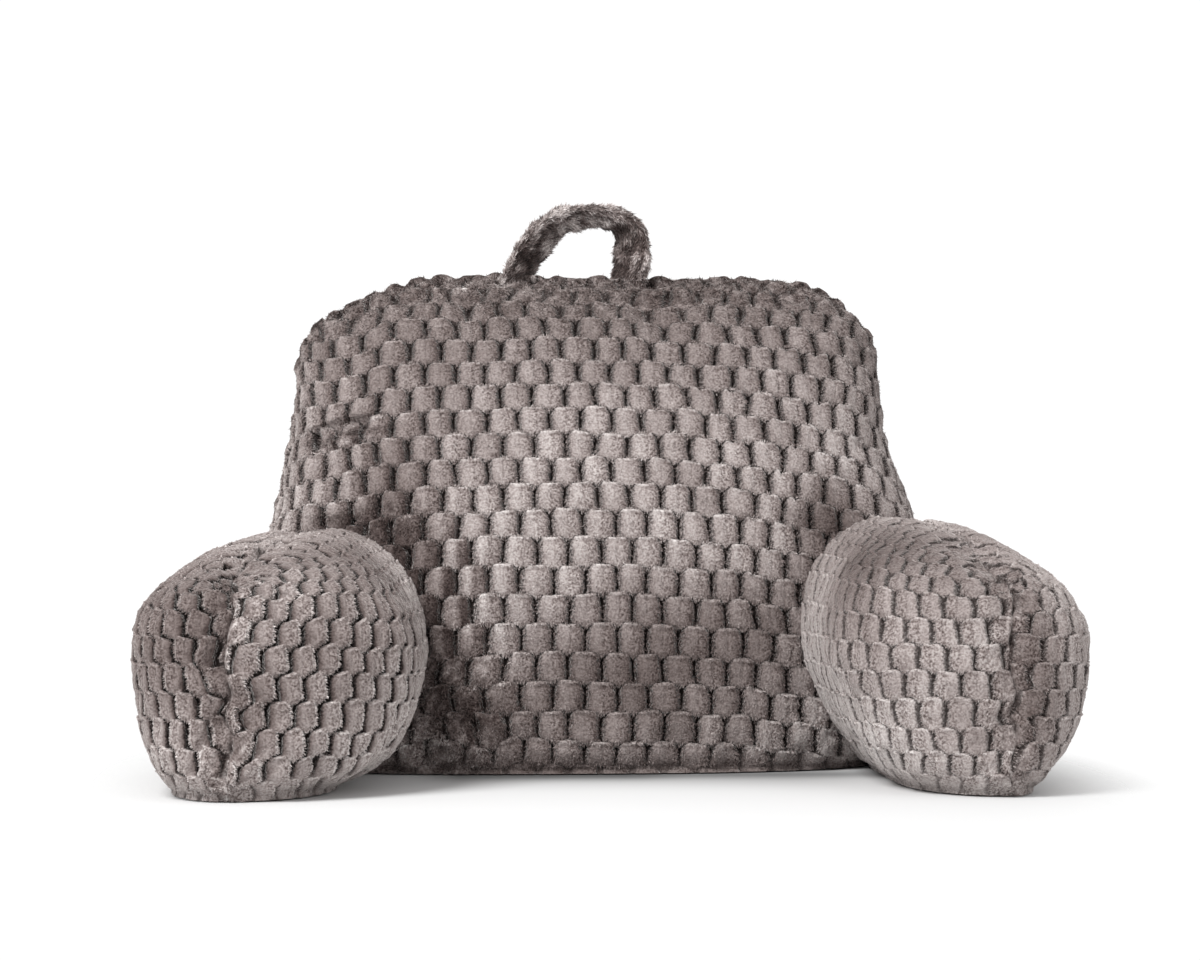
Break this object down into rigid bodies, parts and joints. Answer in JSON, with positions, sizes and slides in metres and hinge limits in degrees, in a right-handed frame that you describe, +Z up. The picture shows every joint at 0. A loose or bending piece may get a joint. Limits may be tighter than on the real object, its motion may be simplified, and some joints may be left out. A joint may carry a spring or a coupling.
{
  "type": "reading pillow with arms",
  "caption": "Stuffed plush reading pillow: a back rest that leans back, two stubby arms reaching forward, and a plush carry handle on top.",
  "frame": {"origin": "on the surface that the pillow rests on, under the middle of its box", "axes": "+X across the pillow from the viewer's left to right when its front is seen, -Y forward the way the arms reach, +Z up to the handle"},
  "size_m": [0.7442, 0.4952, 0.4822],
  "materials": {
    "plush": "carved plush pile, warm taupe grey, with a soft sheen"
  },
  "bodies": {
    "root": {"rest": "plush", "arm_left": "plush", "arm_right": "plush", "handle": "plush"}
  },
  "joints": []
}
